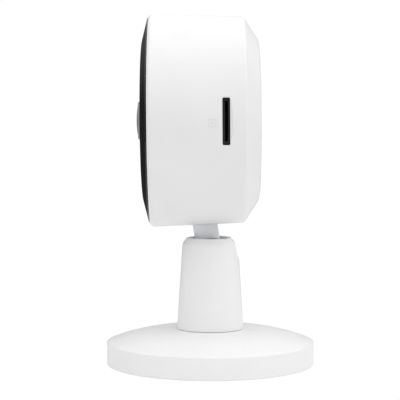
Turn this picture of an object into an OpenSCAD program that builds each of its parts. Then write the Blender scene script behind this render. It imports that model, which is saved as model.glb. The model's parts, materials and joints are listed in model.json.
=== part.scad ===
// Indoor security camera: a round head on a tilting neck, a hollow swivelling stem
// and a round weighted base. Millimetres, +Z up, the lens faces -Y and the memory
// card slot is on the +X side. The origin is the centre of the base's underside.

/* [Head] */
// Radius of the white housing at its front rim
head_front_r = 31.65; // [31.5:0.05:32.2]
// Radius of the white housing where the rear chamfer begins
head_rear_r = 30.6; // [30.4:0.1:31]
// Radius of the flat rear face
rear_face_r = 23.8; // [23.2:0.1:24.4]
// Distance from the head's centre plane forward to the front rim
front_depth = 17.3; // [17.2:0.1:17.8]
// Distance from the head's centre plane back to the rear face
rear_depth = 14.3; // [14.2:0.1:14.8]
// Depth of the rear chamfer along the head's axis
chamfer_depth = 4.4; // [4:0.1:4.8]
// Wall thickness of the housing
wall = 1.7; // [1.5:0.1:1.8]
// Height of the head's centre above the ground
head_z = 73; // [72.7:0.1:74.1]
// Nose-down angle of the head as it stands, in degrees
head_pitch = 0.4; // [0:0.1:2]

/* [Front panel and lens] */
// Outer radius of the black front panel
panel_r = 30.35; // [30.1:0.05:30.4]
// Radius of the panel's flat face, inside its bevel
panel_face_r = 23.4; // [23:0.1:24.2]
// Distance from the head's centre plane forward to the panel's flat face
panel_depth = 20.45; // [20.4:0.05:20.7]
// Thickness of the panel
panel_t = 1.8; // [1.6:0.1:1.9]
// Outer radius of the raised ring round the lens
lens_ring_r = 5.7; // [5.65:0.05:5.8]
// Height of the lens ring above the panel's face
lens_ring_rise = 1; // [0.9:0.05:1.2]

/* [Memory card slot] */
// Length of the slot, up the side of the head
slot_len = 13.2; // [12.6:0.2:13.4]
// Width of the slot, along the head's axis
slot_w = 2.15; // [1.9:0.05:2.4]
// Distance from the head's centre plane back to the slot
slot_back = 4.2; // [4.1:0.05:4.3]
// Distance from the head's centre down to the slot's centre
slot_drop = 0.4; // [0:0.1:1]

/* [Neck and tilt hinge] */
// Height of the tilt hinge above the ground
pivot_z = 32.9; // [32.7:0.1:33.1]
// Forward lean of the neck as the camera stands, in degrees
neck_lean = 10; // [9:0.5:12]
// Width of the neck, seen from the front
neck_w = 6.3; // [5.9:0.1:6.3]
// Depth of the neck, seen from the side
neck_d = 7.35; // [7:0.05:7.4]
// Radius of the hinge screw's shank
pin_r = 1.05; // [1:0.05:1.2]

/* [Stem] */
// Outer radius of the stem at its foot
stem_foot_r = 10; // [9.8:0.1:10.4]
// Outer radius of the stem under its shoulder
stem_top_r = 8.35; // [8.3:0.05:8.5]
// Height of the stem's top rim above the ground
stem_top_z = 38; // [37.9:0.05:38.2]
// Radius of the round mouth at the top of the stem
stem_mouth_r = 6.1; // [6:0.05:6.2]
// Half the width of the rear slot that the neck folds into
fold_half_w = 3.5; // [3.5:0.05:3.8]

/* [Base] */
// Radius of the base
base_r = 31; // [30.4:0.1:32]
// Height of the base's rim
rim_z = 6.85; // [6.7:0.05:7.1]
// Height of the base's top where the stem stands on it
crown_z = 10.7; // [10.5:0.1:10.8]
// Thickness of the base shell's skin
base_skin = 1.9; // [1.7:0.1:2]
// Radius of the swivel spigot under the stem
spigot_r = 4.5; // [4.3:0.1:4.7]

/* [Hidden] */

$fn = 96;

WHITE = [0.93, 0.93, 0.945];
GREY = [0.72, 0.73, 0.76];
BLACK = [0.05, 0.05, 0.055];
STEEL = [0.62, 0.63, 0.65];
GREEN = [0.05, 0.28, 0.16];
RUBBER = [0.16, 0.16, 0.17];
GLASS = [0.35, 0.4, 0.5, 0.5];

over = 0.5;          // how far a cutter runs past the face it cuts
small_fn = 40;       // segments of holes, screws and small round pieces
gap = 0.05;          // radial clearance of a shaft in its hole

// Head, along its own axis: +z towards the lens, +y up, depths from the centre plane
rim_face = front_depth + 0.65;
seat_z = 15.6;       // ledge that the front frame rests on
seat_r = 30.5;       // recess that holds the panel and the frame
cavity_front_r = 29.9;
cavity_rear_r = head_rear_r - wall;
floor_z = -(rear_depth - wall);
chamfer_z = -(rear_depth - chamfer_depth);
chamfer_round = 1;
frame_t = 1.2;
frame_face = seat_z + frame_t;
cup_r = 18.5;        // inside of the frame's cup for the infrared lamps
cup_wall = 1.2;
cup_floor = 12;
cup_floor_t = 1.2;
panel_back = panel_depth - panel_t;
face_crown = 0.3;    // how far the panel's face falls away from its centre to its bevel
edge_rise = 0.45;    // how far the panel's upright edge stands above the rim

// Screwed posts in the head
post_r = 2.6;
post_circle_r = 24.9;
post_top = 14.6;
post_angles = [90, 210, 330];
standoff_r = 2.2;
standoffs = [[-19, 11.5], [13, -17.5], [14.5, 16]];
sensor_post = 9;     // half the spacing of the sensor board's posts

// Main board and what it carries
board_front = -5.3;
board_t = 1.2;
board_back = board_front - board_t;
board_r = 27;
usb_pos = [0, -17];
usb_size = [7.8, 2.9];
usb_len = 7.2;
button_pos = [-10, -16.5];
button_r = 1.6;
button_travel = 0.4;
switch_h = 1.6;
speaker_pos = [0, 8];
speaker_r = 10;
speaker_h = 4;
speaker_foam_t = 0.6;
hole_rows = 3;       // rings of speaker holes round the middle one
hole_pitch = 2.3;
hole_r = 0.55;
socket_size = [15, 13.6, 2];
socket_mouth_x = 27.6;
chip = 12;
chip_h = 1.2;
spreader_z = -1;
spreader_t = 1;
spreader_w = 30;
ribbon_y = -10.6;

// Camera module
sensor_board_z = 2.2;
sensor_board_t = 1.2;
sensor_board_w = 22;
sensor_front = sensor_board_z + sensor_board_t;
holder_w = 14;
holder_r = 7.2;
holder_top = 13;
barrel_r = 5.9;
barrel_low = 8;
barrel_step = 14.6;
nose_r = 3.3;
nose_top = 19.6;
ring_bore_r = 3.5;
window_r = 5.1;
window_t = 0.8;
window_crown = 0.45; // how far the window's dome stands above the ring
window_dome_r = 30;
ring_face = panel_depth + lens_ring_rise;
ring_flange_t = 0.8;
ring_round = 0.5;    // rounding of the ring's outer edge
window_low = ring_face - window_t - 0.3;
lamp_circle_r = 12.6;
lamp_count = 6;
status_pos = [0, -15.5];
status_r = 0.75;
mic_pos = [0, -21.2];
mic_hole_r = 0.5;

// Neck, along its own axis from the hinge
neck_corner = 2.4;   // rounding of the neck's four long edges
knuckle_r = 3.6;
tongue_half_w = 2.45;
neck_low_z = 4.7;
neck_end_z = 12.3;
pad_top = 14;
pad_r = 6;
neck_screw_r = 1;

// Hinge inside the stem
washer_t = 0.3;
cheek_in = tongue_half_w + washer_t + 0.1;
cheek_t = 1.75;
cheek_out = cheek_in + cheek_t;
cheek_r = 3.9;
screw_head_h = 1;
nut_flat_r = 2.3;
nut_h = 1.5;

// Stem and swivel
stem_foot_z = crown_z + 0.25;
shoulder_z = 36.15;
rim_flat = 0.9;      // width of the flat rim round the stem's mouth
stem_cavity_foot_r = 8.3;
stem_cavity_top_r = 6.75;
stem_cavity_top_z = 35.85;
bracket_floor_t = 2;
bracket_floor_z = stem_foot_z + 0.1;
stem_post_y = 6.2;
stem_post_r = 1.7;
stem_post_len = 9;
fold_centre_z = 36;
fold_depth = 4.7;
hub_bottom = 8.1;
washer_low = 7.4;
swivel_washer_t = 0.6;
swivel_washer_r = 7;
swivel_screw_r = 1.25;

// Base
base_low = 0.25;
plate_low = 0.9;
plate_t = 1.6;
plate_top = plate_low + plate_t;
plate_r = base_r - base_skin - 0.15;
crown_r = 10.4;      // where the domed top meets the flat seat of the stem
dome_power = 2.1;    // how quickly the top falls away towards the rim
dome_steps = 12;
base_post_circle_r = 22;
base_post_r = 2.6;
base_post_angles = [30, 150, 270];
ballast_top = 5.2;
ballast_r = 26;
ballast_bore_r = 9.5;

// ---------- outlines ----------

function unit(v) = v / norm(v);

// Points of the arc of radius r that rounds the corner at v between p and q
function corner_arc(p, v, q, r, steps = 6) =
    let (
        a = unit(p - v),
        b = unit(q - v),
        half = acos(a * b) / 2,
        centre = v + unit(a + b) * r / sin(half),
        from = v + a * r / tan(half) - centre,
        to = v + b * r / tan(half) - centre,
        start = atan2(from.y, from.x),
        turn = (atan2(to.y, to.x) - start + 540) % 360 - 180
    )
    [for (i = [0:steps]) centre + r * [cos(start + turn * i / steps), sin(start + turn * i / steps)]];

// An outline from corners given as [x, y, rounding radius]
function rounded(corners) =
    let (n = len(corners), at = function(i) let (c = corners[(i + n) % n]) [c.x, c.y])
    [for (i = [0:n - 1]) each corners[i].z > 0
        ? corner_arc(at(i - 1), at(i), at(i + 1), corners[i].z)
        : [at(i)]];

// Height of the base's domed top at a distance from the axis
function dome_z(r) =
    let (share = max(r - crown_r, 0) / (base_r - crown_r))
    rim_z + (crown_z - rim_z) * (1 - pow(share, dome_power));

// Points of the domed top from the rim to the flat seat of the stem, lowered by drop
function dome(from_r, drop) = [for (i = [0:dome_steps])
    let (r = from_r + (crown_r - from_r) * i / dome_steps) [r, dome_z(r) - drop]];

module rounded_rect(w, h, r) {
    square([w - 2 * r, h], center = true);
    square([w, h - 2 * r], center = true);
    for (sx = [-1, 1], sy = [-1, 1])
        translate([sx * (w / 2 - r), sy * (h / 2 - r)]) circle(r = r, $fn = small_fn);
}

module tube(outer, inner, h) {
    difference() {
        cylinder(r = outer, h = h);
        translate([0, 0, -over]) cylinder(r = inner, h = h + 2 * over);
    }
}

// A block centred on the axis, standing on z = 0
module block(size) {
    translate([0, 0, size.z / 2]) cube(size, center = true);
}

module ring_of(angles, r) {
    for (a = angles) rotate([0, 0, a]) translate([r, 0, 0]) children();
}

// A screw whose head stands on z = 0 and whose shank points down, with a cross recess
module screw(head_r, head_h, shank_r, shank_len) {
    difference() {
        union() {
            cylinder(r = head_r, h = head_h, $fn = small_fn);
            translate([0, 0, -shank_len]) cylinder(r = shank_r, h = shank_len, $fn = small_fn);
        }
        for (a = [0, 90]) rotate([0, 0, a]) translate([0, 0, head_h])
            cube([head_r * 1.1, head_r * 0.28, head_h], center = true);
    }
}

// ---------- places ----------

module in_head() {
    translate([0, 0, head_z]) rotate([90 + head_pitch, 0, 0]) children();
}

module in_neck() {
    translate([0, 0, pivot_z]) rotate([neck_lean, 0, 0]) children();
}

module across_hinge() {
    translate([0, 0, pivot_z]) rotate([0, 90, 0]) children();
}

// ---------- head: shells ----------

// The full outer form of the white housing
module housing_form() {
    rotate_extrude() polygon(rounded([
        [0, -rear_depth, 0],
        [rear_face_r, -rear_depth, 3],
        [head_rear_r, chamfer_z, chamfer_round],
        [head_front_r, front_depth, 1.1],
        [seat_r + 0.3, rim_face, 0.25],
        [0, rim_face, 0]
    ]));
}

module housing_cavity() {
    rotate_extrude() polygon([
        [0, floor_z],
        [rear_face_r - wall * 0.6, floor_z],
        [cavity_rear_r, chamfer_z + wall * 0.4],
        [cavity_front_r, seat_z],
        [seat_r, seat_z],
        [seat_r, rim_face + over],
        [0, rim_face + over]
    ]);
}

module speaker_holes() {
    translate([speaker_pos.x, speaker_pos.y, -rear_depth - over]) {
        cylinder(r = hole_r, h = wall + 2 * over, $fn = small_fn);
        for (row = [1:hole_rows])
            ring_of([for (i = [0:6 * row - 1]) i * 60 / row], row * hole_pitch)
                cylinder(r = hole_r, h = wall + 2 * over, $fn = small_fn);
    }
}

module rear_housing() {
    color(WHITE) difference() {
        union() {
            in_head() {
                difference() {
                    housing_form();
                    housing_cavity();
                }
                intersection() {
                    housing_form();
                    union() {
                        ring_of(post_angles, post_circle_r) translate([0, 0, -rear_depth])
                            cylinder(r = post_r, h = post_top + rear_depth);
                        for (p = standoffs) translate([p.x, p.y, -rear_depth])
                            cylinder(r = standoff_r, h = board_back + rear_depth);
                    }
                }
            }
            intersection() {
                in_head() housing_form();
                in_neck() cylinder(r = pad_r, h = pad_top);
            }
        }
        in_head() {
            speaker_holes();
            translate([usb_pos.x, usb_pos.y, -rear_depth - over])
                linear_extrude(wall + 2 * over) rounded_rect(usb_size.x + 0.6, usb_size.y + 0.4, 0.8);
            translate([button_pos.x, button_pos.y, -rear_depth - over])
                cylinder(r = button_r + 0.15, h = wall + 2 * over, $fn = small_fn);
            translate([cavity_rear_r - 1, -slot_drop, -slot_back])
                rotate([90, 0, 90]) linear_extrude(head_front_r) rounded_rect(slot_len, slot_w, 0.45);
            ring_of(post_angles, post_circle_r) translate([0, 0, post_top - 6])
                cylinder(r = 0.85, h = 6 + over, $fn = small_fn);
            for (p = standoffs) translate([p.x, p.y, board_back - 4])
                cylinder(r = 0.75, h = 4 + over, $fn = small_fn);
        }
        in_neck() {
            linear_extrude(neck_end_z + gap)
                rounded_rect(neck_w + 2 * gap, neck_d + 2 * gap, neck_corner + gap);
            cylinder(r = neck_screw_r + gap, h = pad_top + over, $fn = small_fn);
        }
    }
}

module front_panel() {
    color(BLACK) in_head() difference() {
        rotate_extrude() polygon(rounded([
            [0, panel_depth, 0],
            [panel_face_r, panel_depth - face_crown, 8],
            [panel_r, rim_face + edge_rise, 0.2],
            [panel_r, frame_face, 0],
            [panel_r - 1.6, frame_face, 0],
            [panel_face_r - 0.6, panel_back, 0],
            [0, panel_back, 0]
        ]));
        cylinder(r = lens_ring_r + gap, h = panel_depth + over);
        translate([status_pos.x, status_pos.y, 0])
            cylinder(r = status_r + gap, h = panel_depth + over, $fn = small_fn);
        translate([mic_pos.x, mic_pos.y, 0])
            cylinder(r = mic_hole_r, h = panel_depth + over, $fn = small_fn);
    }
}

module front_frame() {
    color(BLACK) in_head() difference() {
        union() {
            translate([0, 0, seat_z]) tube(panel_r, cup_r, frame_t);
            translate([0, 0, cup_floor]) tube(cup_r + cup_wall, cup_r, seat_z - cup_floor + over);
            translate([0, 0, cup_floor]) tube(cup_r + over, holder_r + 1.4, cup_floor_t);
            ring_of(post_angles, post_circle_r) translate([0, 0, post_top])
                cylinder(r = post_r + 0.3, h = frame_t + seat_z - post_top);
            for (sx = [-1, 1], sy = [-1, 1])
                translate([sx * sensor_post, sy * sensor_post, sensor_front])
                    cylinder(r = 1.8, h = cup_floor - sensor_front + over);
        }
        ring_of(post_angles, post_circle_r) translate([0, 0, post_top - over]) {
            cylinder(r = 1.15, h = 5, $fn = small_fn);
            translate([0, 0, over + 1.1]) cylinder(r = 2.1, h = 5, $fn = small_fn);
        }
        for (sx = [-1, 1], sy = [-1, 1])
            translate([sx * sensor_post, sy * sensor_post, sensor_front - over])
                cylinder(r = 0.7, h = 4 + over, $fn = small_fn);
    }
}

// ---------- head: camera module ----------

module lens_ring() {
    color(GREY) in_head() rotate_extrude() polygon(rounded([
        [ring_bore_r, panel_back - ring_flange_t, 0],
        [lens_ring_r + 1.1, panel_back - ring_flange_t, 0],
        [lens_ring_r + 1.1, panel_back, 0],
        [lens_ring_r, panel_back, 0],
        [lens_ring_r, ring_face, ring_round],
        [window_r, ring_face, 0],
        [window_r, window_low, 0],
        [ring_bore_r, window_low, 0]
    ]));
}

module lens_window() {
    color(GLASS) in_head() intersection() {
        translate([0, 0, window_low]) cylinder(r = window_r - gap, h = window_t + 1);
        translate([0, 0, ring_face + window_crown - window_dome_r]) sphere(r = window_dome_r);
    }
}

module lens_barrel() {
    color(BLACK) in_head() difference() {
        rotate_extrude() polygon([
            [0, barrel_low],
            [barrel_r, barrel_low],
            [barrel_r, barrel_step],
            [nose_r, barrel_step + 1.2],
            [nose_r, nose_top],
            [nose_r - 0.5, nose_top],
            [nose_r - 1.3, nose_top - 1.1],
            [0, nose_top - 1.1]
        ]);
        translate([0, 0, barrel_low - over]) cylinder(r = 1.7, h = nose_top);
    }
}

module lens_element() {
    dome_r = 3.2;
    color(GLASS) in_head() intersection() {
        translate([0, 0, nose_top - dome_r - 0.25]) sphere(r = dome_r);
        translate([0, 0, nose_top - 1.1]) cylinder(r1 = nose_r - 1.35, r2 = nose_r - 0.55, h = 1.1);
    }
}

module lens_holder() {
    color(BLACK) in_head() difference() {
        union() {
            translate([0, 0, sensor_front]) block([holder_w, holder_w, 2.4]);
            translate([0, 0, sensor_front + 2.4])
                cylinder(r = holder_r, h = holder_top - sensor_front - 2.4);
        }
        translate([0, 0, sensor_front - over]) block([8, 8, over + 2]);
        translate([0, 0, sensor_front]) cylinder(r = 2.6, h = holder_top);
        translate([0, 0, barrel_low - gap]) cylinder(r = barrel_r + gap, h = holder_top);
    }
}

module ir_cut_filter() {
    color(GLASS) in_head() translate([0, 0, sensor_front + 1.4]) block([6.4, 6.4, 0.4]);
}

module image_sensor() {
    color(STEEL) in_head() translate([0, 0, sensor_front]) block([6.4, 5.4, 1]);
}

module sensor_board() {
    color(GREEN) in_head() difference() {
        translate([0, 0, sensor_board_z]) block([sensor_board_w, sensor_board_w, sensor_board_t]);
        for (sx = [-1, 1], sy = [-1, 1])
            translate([sx * sensor_post, sy * sensor_post, sensor_board_z - over])
                cylinder(r = 0.95, h = sensor_board_t + 2 * over, $fn = small_fn);
    }
}

module sensor_screws() {
    color(STEEL) in_head() for (sx = [-1, 1], sy = [-1, 1])
        translate([sx * sensor_post, sy * sensor_post, sensor_board_z]) mirror([0, 0, 1])
            screw(1.6, 0.9, 0.65, 4);
}

module light_gasket() {
    color(RUBBER) in_head() translate([0, 0, holder_top + gap])
        tube(holder_r + 0.8, lens_ring_r + 1.2, panel_back - holder_top - 2 * gap);
}

module ir_led_board() {
    color(GREEN) in_head() translate([0, 0, cup_floor + cup_floor_t])
        tube(cup_r - 0.3, holder_r + 1.2, 0.8);
}

module ir_leds() {
    lamp_z = cup_floor + cup_floor_t + 0.8;
    lamp_angles = [for (i = [0:lamp_count - 1]) (i + 0.5) * 360 / lamp_count];
    color(GLASS) in_head() ring_of(lamp_angles, lamp_circle_r)
        translate([0, 0, lamp_z]) {
            block([3, 3, 0.9]);
            translate([0, 0, 0.9]) cylinder(r1 = 1.25, r2 = 0.8, h = 0.8, $fn = small_fn);
        }
}

module status_light() {
    pipe_low = cup_floor + cup_floor_t + 0.8;
    color("honeydew") in_head() translate([status_pos.x, status_pos.y, pipe_low])
        cylinder(r = status_r, h = panel_depth - 0.05 - pipe_low, $fn = small_fn);
}

module microphone() {
    color(STEEL) in_head() translate([mic_pos.x, mic_pos.y, frame_face]) difference() {
        block([3.8, 2.9, 1]);
        cylinder(r = 0.4, h = 1 + over, $fn = small_fn);
    }
}

module mic_gasket() {
    color(RUBBER) in_head() translate([mic_pos.x, mic_pos.y, frame_face + 1])
        tube(1.5, 0.7, panel_back - frame_face - 1);
}

// ---------- head: electronics ----------

module main_board() {
    color(GREEN) in_head() difference() {
        translate([0, 0, board_back]) cylinder(r = board_r, h = board_t);
        ring_of(post_angles, post_circle_r) translate([0, 0, board_back - over])
            cylinder(r = post_r + 0.4, h = board_t + 2 * over);
        ring_of(post_angles, post_circle_r + 3) translate([0, 0, board_back - over])
            block([6, 2 * post_r + 0.8, board_t + 2 * over]);
        for (p = standoffs) translate([p.x, p.y, board_back - over])
            cylinder(r = 1, h = board_t + 2 * over, $fn = small_fn);
    }
}

module processor() {
    color(BLACK) in_head() translate([0, 0, board_front]) block([chip, chip, chip_h]);
}

module thermal_pad() {
    pad_low = board_front + chip_h;
    color("lightsteelblue") in_head() translate([0, 0, pad_low]) block([chip, chip, spreader_z - pad_low]);
}

module heat_spreader() {
    color(STEEL) in_head() translate([0, 0, spreader_z]) difference() {
        block([spreader_w, spreader_w, spreader_t]);
        translate([0, ribbon_y, -over]) block([10, 1.6, spreader_t + 2 * over]);
    }
}

module radio_shield() {
    color(STEEL) in_head() translate([-14.5, 0, board_front]) difference() {
        block([11, 15, 2.2]);
        translate([0, 0, -over]) block([10.4, 14.4, 1.9 + over]);
    }
}

module card_socket() {
    color(BLACK) in_head() translate([socket_mouth_x - socket_size.x / 2, -slot_drop, board_front])
        difference() {
            block(socket_size);
            translate([1, 0, socket_size.z / 2 - 0.45]) block([socket_size.x, 11.3, 0.9]);
        }
}

module usb_port() {
    color(STEEL) in_head() translate([usb_pos.x, usb_pos.y, board_back - usb_len]) difference() {
        linear_extrude(usb_len) rounded_rect(usb_size.x, usb_size.y, 0.7);
        translate([0, 0, -over]) difference() {
            linear_extrude(usb_len - 1.2 + over) rounded_rect(usb_size.x - 0.7, usb_size.y - 0.7, 0.45);
            translate([0, 0.45, 1.3]) block([4.4, 0.65, usb_len]);
        }
    }
}

module ribbon_cable() {
    color("orange") in_head() translate([0, ribbon_y, board_front])
        block([8, 0.3, sensor_board_z - board_front]);
}

module wifi_antenna() {
    strip_z = -2;
    color("darkkhaki") in_head() translate([0, 0, strip_z]) rotate([0, 0, 160])
        rotate_extrude(angle = 44) translate([cavity_rear_r - 0.5, 0]) square([0.2, 8]);
}

module speaker() {
    cone_r = speaker_r - 1.4;
    low = floor_z + speaker_foam_t;
    color(BLACK) in_head() translate([speaker_pos.x, speaker_pos.y, low]) difference() {
        union() {
            cylinder(r = speaker_r, h = 1.6);
            cylinder(r = speaker_r * 0.62, h = speaker_h);
        }
        rotate_extrude() polygon([
            [0, -over],
            [cone_r, -over],
            [cone_r, 0],
            [cone_r * 0.4, 0.9],
            [0, 0.6]
        ]);
    }
}

module speaker_gasket() {
    color(RUBBER) in_head() translate([speaker_pos.x, speaker_pos.y, floor_z])
        tube(speaker_r, speaker_r - 1.3, speaker_foam_t);
}

module reset_switch() {
    color(STEEL) in_head() translate([button_pos.x, button_pos.y, board_back - switch_h])
        block([4.4, 3.4, switch_h]);
}

module reset_button() {
    face = -rear_depth + 0.1;
    flange_z = floor_z + gap;
    top = board_back - switch_h - button_travel - 0.1;
    color(GREY) in_head() translate([button_pos.x, button_pos.y, 0]) {
        translate([0, 0, face]) cylinder(r = button_r, h = top - face, $fn = small_fn);
        translate([0, 0, flange_z]) cylinder(r = button_r + 0.8, h = 0.8, $fn = small_fn);
    }
}

module frame_screws() {
    color(STEEL) in_head() ring_of(post_angles, post_circle_r) translate([0, 0, post_top + 1.1])
        screw(1.9, 1, 0.8, 6);
}

module board_screws() {
    color(STEEL) in_head() for (p = standoffs) translate([p.x, p.y, board_front])
        screw(1.9, 1, 0.7, 4.5);
}

// ---------- neck ----------

module neck() {
    color(GREY) in_neck() difference() {
        union() {
            rotate([0, 90, 0]) translate([0, 0, -tongue_half_w])
                cylinder(r = knuckle_r, h = 2 * tongue_half_w);
            block([2 * tongue_half_w, 2 * knuckle_r, neck_low_z + over]);
            translate([0, 0, neck_low_z])
                linear_extrude(neck_end_z - neck_low_z) rounded_rect(neck_w, neck_d, neck_corner);
        }
        rotate([0, 90, 0]) translate([0, 0, -tongue_half_w - over])
            cylinder(r = pin_r + gap, h = 2 * tongue_half_w + 2 * over);
        translate([0, 0, 6.5]) cylinder(r = neck_screw_r, h = neck_end_z, $fn = small_fn);
    }
}

module neck_screw() {
    color(STEEL) in_neck() translate([0, 0, pad_top]) screw(2, 1.1, neck_screw_r - 0.05, 6.5);
}

// ---------- stem ----------

// The rounded slot at the rear of the stem, seen from behind
module fold_slot() {
    rise = stem_top_z - fold_centre_z + over;
    outline = concat(
        [for (a = [180:9:360]) [fold_half_w * cos(a), fold_depth * sin(a)]],
        [[fold_half_w, rise], [-fold_half_w, rise]]
    );
    translate([0, 0, fold_centre_z]) rotate([90, 0, 180])
        linear_extrude(stem_foot_r + over) polygon(outline);
}

module stem_shell() {
    color(WHITE) difference() {
        union() {
            rotate_extrude() polygon(rounded([
                [stem_cavity_foot_r, stem_foot_z, 0],
                [stem_foot_r, stem_foot_z, 0.25],
                [stem_top_r, shoulder_z, 1.2],
                [stem_mouth_r + rim_flat, stem_top_z, 0.5],
                [stem_mouth_r, stem_top_z, 0.2],
                [stem_mouth_r, stem_cavity_top_z + 0.9, 0],
                [stem_cavity_top_r, stem_cavity_top_z, 0]
            ]));
            intersection() {
                cylinder(r1 = stem_foot_r - 0.5, r2 = stem_top_r - 0.5, h = shoulder_z);
                for (side = [-1, 1])
                    translate([0, side * stem_post_y, bracket_floor_z + bracket_floor_t])
                        cylinder(r = stem_post_r, h = stem_post_len);
            }
        }
        fold_slot();
        for (side = [-1, 1])
            translate([0, side * stem_post_y, bracket_floor_z]) cylinder(r = 0.75, h = 8, $fn = small_fn);
    }
}

module hinge_bracket() {
    color(BLACK) difference() {
        union() {
            translate([0, 0, bracket_floor_z]) cylinder(r = stem_cavity_foot_r - 0.3, h = bracket_floor_t);
            for (side = [-1, 1]) translate([side * (cheek_in + cheek_t / 2), 0, 0]) {
                translate([0, 0, bracket_floor_z + bracket_floor_t])
                    block([cheek_t, 2 * cheek_r, pivot_z - bracket_floor_z - bracket_floor_t]);
                translate([-cheek_t / 2, 0, pivot_z]) rotate([0, 90, 0]) cylinder(r = cheek_r, h = cheek_t);
            }
            translate([0, 0, washer_low + swivel_washer_t])
                cylinder(r = spigot_r, h = bracket_floor_z - washer_low - swivel_washer_t + over);
            translate([0, 0, bracket_floor_z + bracket_floor_t]) block([2 * cheek_in + over, 6, 3]);
        }
        across_hinge() translate([0, 0, -cheek_out - over])
            cylinder(r = pin_r + gap, h = 2 * (cheek_out + over));
        for (side = [-1, 1])
            translate([0, side * stem_post_y, bracket_floor_z - over])
                cylinder(r = 0.95, h = bracket_floor_t + 2 * over, $fn = small_fn);
        cylinder(r = swivel_screw_r, h = bracket_floor_z + bracket_floor_t + 2, $fn = small_fn);
    }
}

module hinge_screw() {
    color(STEEL) across_hinge() translate([0, 0, cheek_out])
        screw(2.1, screw_head_h, pin_r, 2 * cheek_out + nut_h);
}

module hinge_nut() {
    color(STEEL) across_hinge() translate([0, 0, -cheek_out - nut_h]) difference() {
        cylinder(r = nut_flat_r, h = nut_h, $fn = 6);
        translate([0, 0, -over]) cylinder(r = pin_r + 0.02, h = nut_h + 2 * over);
    }
}

module friction_washers() {
    color(STEEL) across_hinge() for (side = [-1, 1])
        translate([0, 0, side * (cheek_in - washer_t / 2) - washer_t / 2])
            tube(knuckle_r - 0.4, pin_r + gap, washer_t);
}

module stem_screws() {
    color(STEEL) for (side = [-1, 1])
        translate([0, side * stem_post_y, bracket_floor_z + 0.9]) mirror([0, 0, 1])
            screw(0.9, 0.8, 0.7, 7);
}

module swivel_screw() {
    color(STEEL) translate([0, 0, washer_low]) mirror([0, 0, 1])
        screw(2.4, 1, swivel_screw_r - 0.03, 6.5);
}

module swivel_washer() {
    color(STEEL) translate([0, 0, washer_low]) tube(swivel_washer_r, swivel_screw_r + gap, swivel_washer_t);
}

module swivel_ring() {
    color(BLACK) translate([0, 0, crown_z]) tube(8, spigot_r + 0.3, stem_foot_z - crown_z - gap);
}

// ---------- base ----------

module base_shell() {
    skin_r = base_r - base_skin;
    post_h = dome_z(base_post_circle_r + base_post_r) - plate_top - 0.3;
    color(WHITE) difference() {
        union() {
            difference() {
                rotate_extrude() polygon(concat(
                    [[0, base_low]],
                    corner_arc([0, base_low], [base_r, base_low], [base_r, rim_z], 0.3, 3),
                    corner_arc([base_r, base_low], [base_r, rim_z], dome(base_r - 1, 0)[0], 0.45, 4),
                    dome(base_r - 1, 0),
                    [[0, crown_z]]
                ));
                rotate_extrude() polygon(concat(
                    [[0, base_low - over], [skin_r, base_low - over]],
                    dome(skin_r, base_skin),
                    [[crown_r, hub_bottom], [0, hub_bottom]]
                ));
            }
            ring_of(base_post_angles, base_post_circle_r) translate([0, 0, plate_top])
                cylinder(r = base_post_r, h = post_h);
        }
        cylinder(r = spigot_r + gap, h = crown_z + over);
        ring_of(base_post_angles, base_post_circle_r) translate([0, 0, plate_top - over])
            cylinder(r = 0.8, h = 2.4 + over, $fn = small_fn);
    }
}

module base_plate() {
    color(WHITE) translate([0, 0, plate_low]) difference() {
        cylinder(r = plate_r, h = plate_t);
        ring_of(base_post_angles, base_post_circle_r) {
            translate([0, 0, -over]) cylinder(r = 1.1, h = plate_t + 2 * over, $fn = small_fn);
            translate([0, 0, -over]) cylinder(r = 2, h = 1 + over, $fn = small_fn);
        }
    }
}

module ballast_plate() {
    color(STEEL) translate([0, 0, plate_top]) difference() {
        tube(ballast_r, ballast_bore_r, ballast_top - plate_top);
        ring_of(base_post_angles, base_post_circle_r) translate([0, 0, -over])
            cylinder(r = base_post_r + 0.4, h = ballast_top);
    }
}

module foot_pad() {
    color(RUBBER) rotate_extrude() polygon(rounded([
        [13, 0, 0.3],
        [plate_r - 0.6, 0, 0.4],
        [plate_r - 0.6, plate_low, 0],
        [13, plate_low, 0]
    ]));
}

module base_screws() {
    color(STEEL) ring_of(base_post_angles, base_post_circle_r) translate([0, 0, plate_low + 1])
        mirror([0, 0, 1]) screw(1.9, 0.95, 0.75, 3);
}

rear_housing();
front_panel();
front_frame();
lens_ring();
lens_window();
lens_barrel();
lens_element();
lens_holder();
ir_cut_filter();
image_sensor();
sensor_board();
light_gasket();
ir_led_board();
ir_leds();
status_light();
microphone();
mic_gasket();
main_board();
processor();
thermal_pad();
heat_spreader();
radio_shield();
card_socket();
usb_port();
ribbon_cable();
wifi_antenna();
speaker();
speaker_gasket();
reset_switch();
reset_button();
frame_screws();
board_screws();
sensor_screws();
neck();
neck_screw();
stem_shell();
hinge_bracket();
hinge_screw();
hinge_nut();
friction_washers();
stem_screws();
swivel_screw();
swivel_washer();
swivel_ring();
base_shell();
base_plate();
ballast_plate();
foot_pad();
base_screws();
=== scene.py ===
"""Looks of an indoor security camera: a round white head, a grey neck, a hollow stem and a round base."""

import json
import math

import bmesh
import bpy
from mathutils import Matrix, Vector


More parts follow.
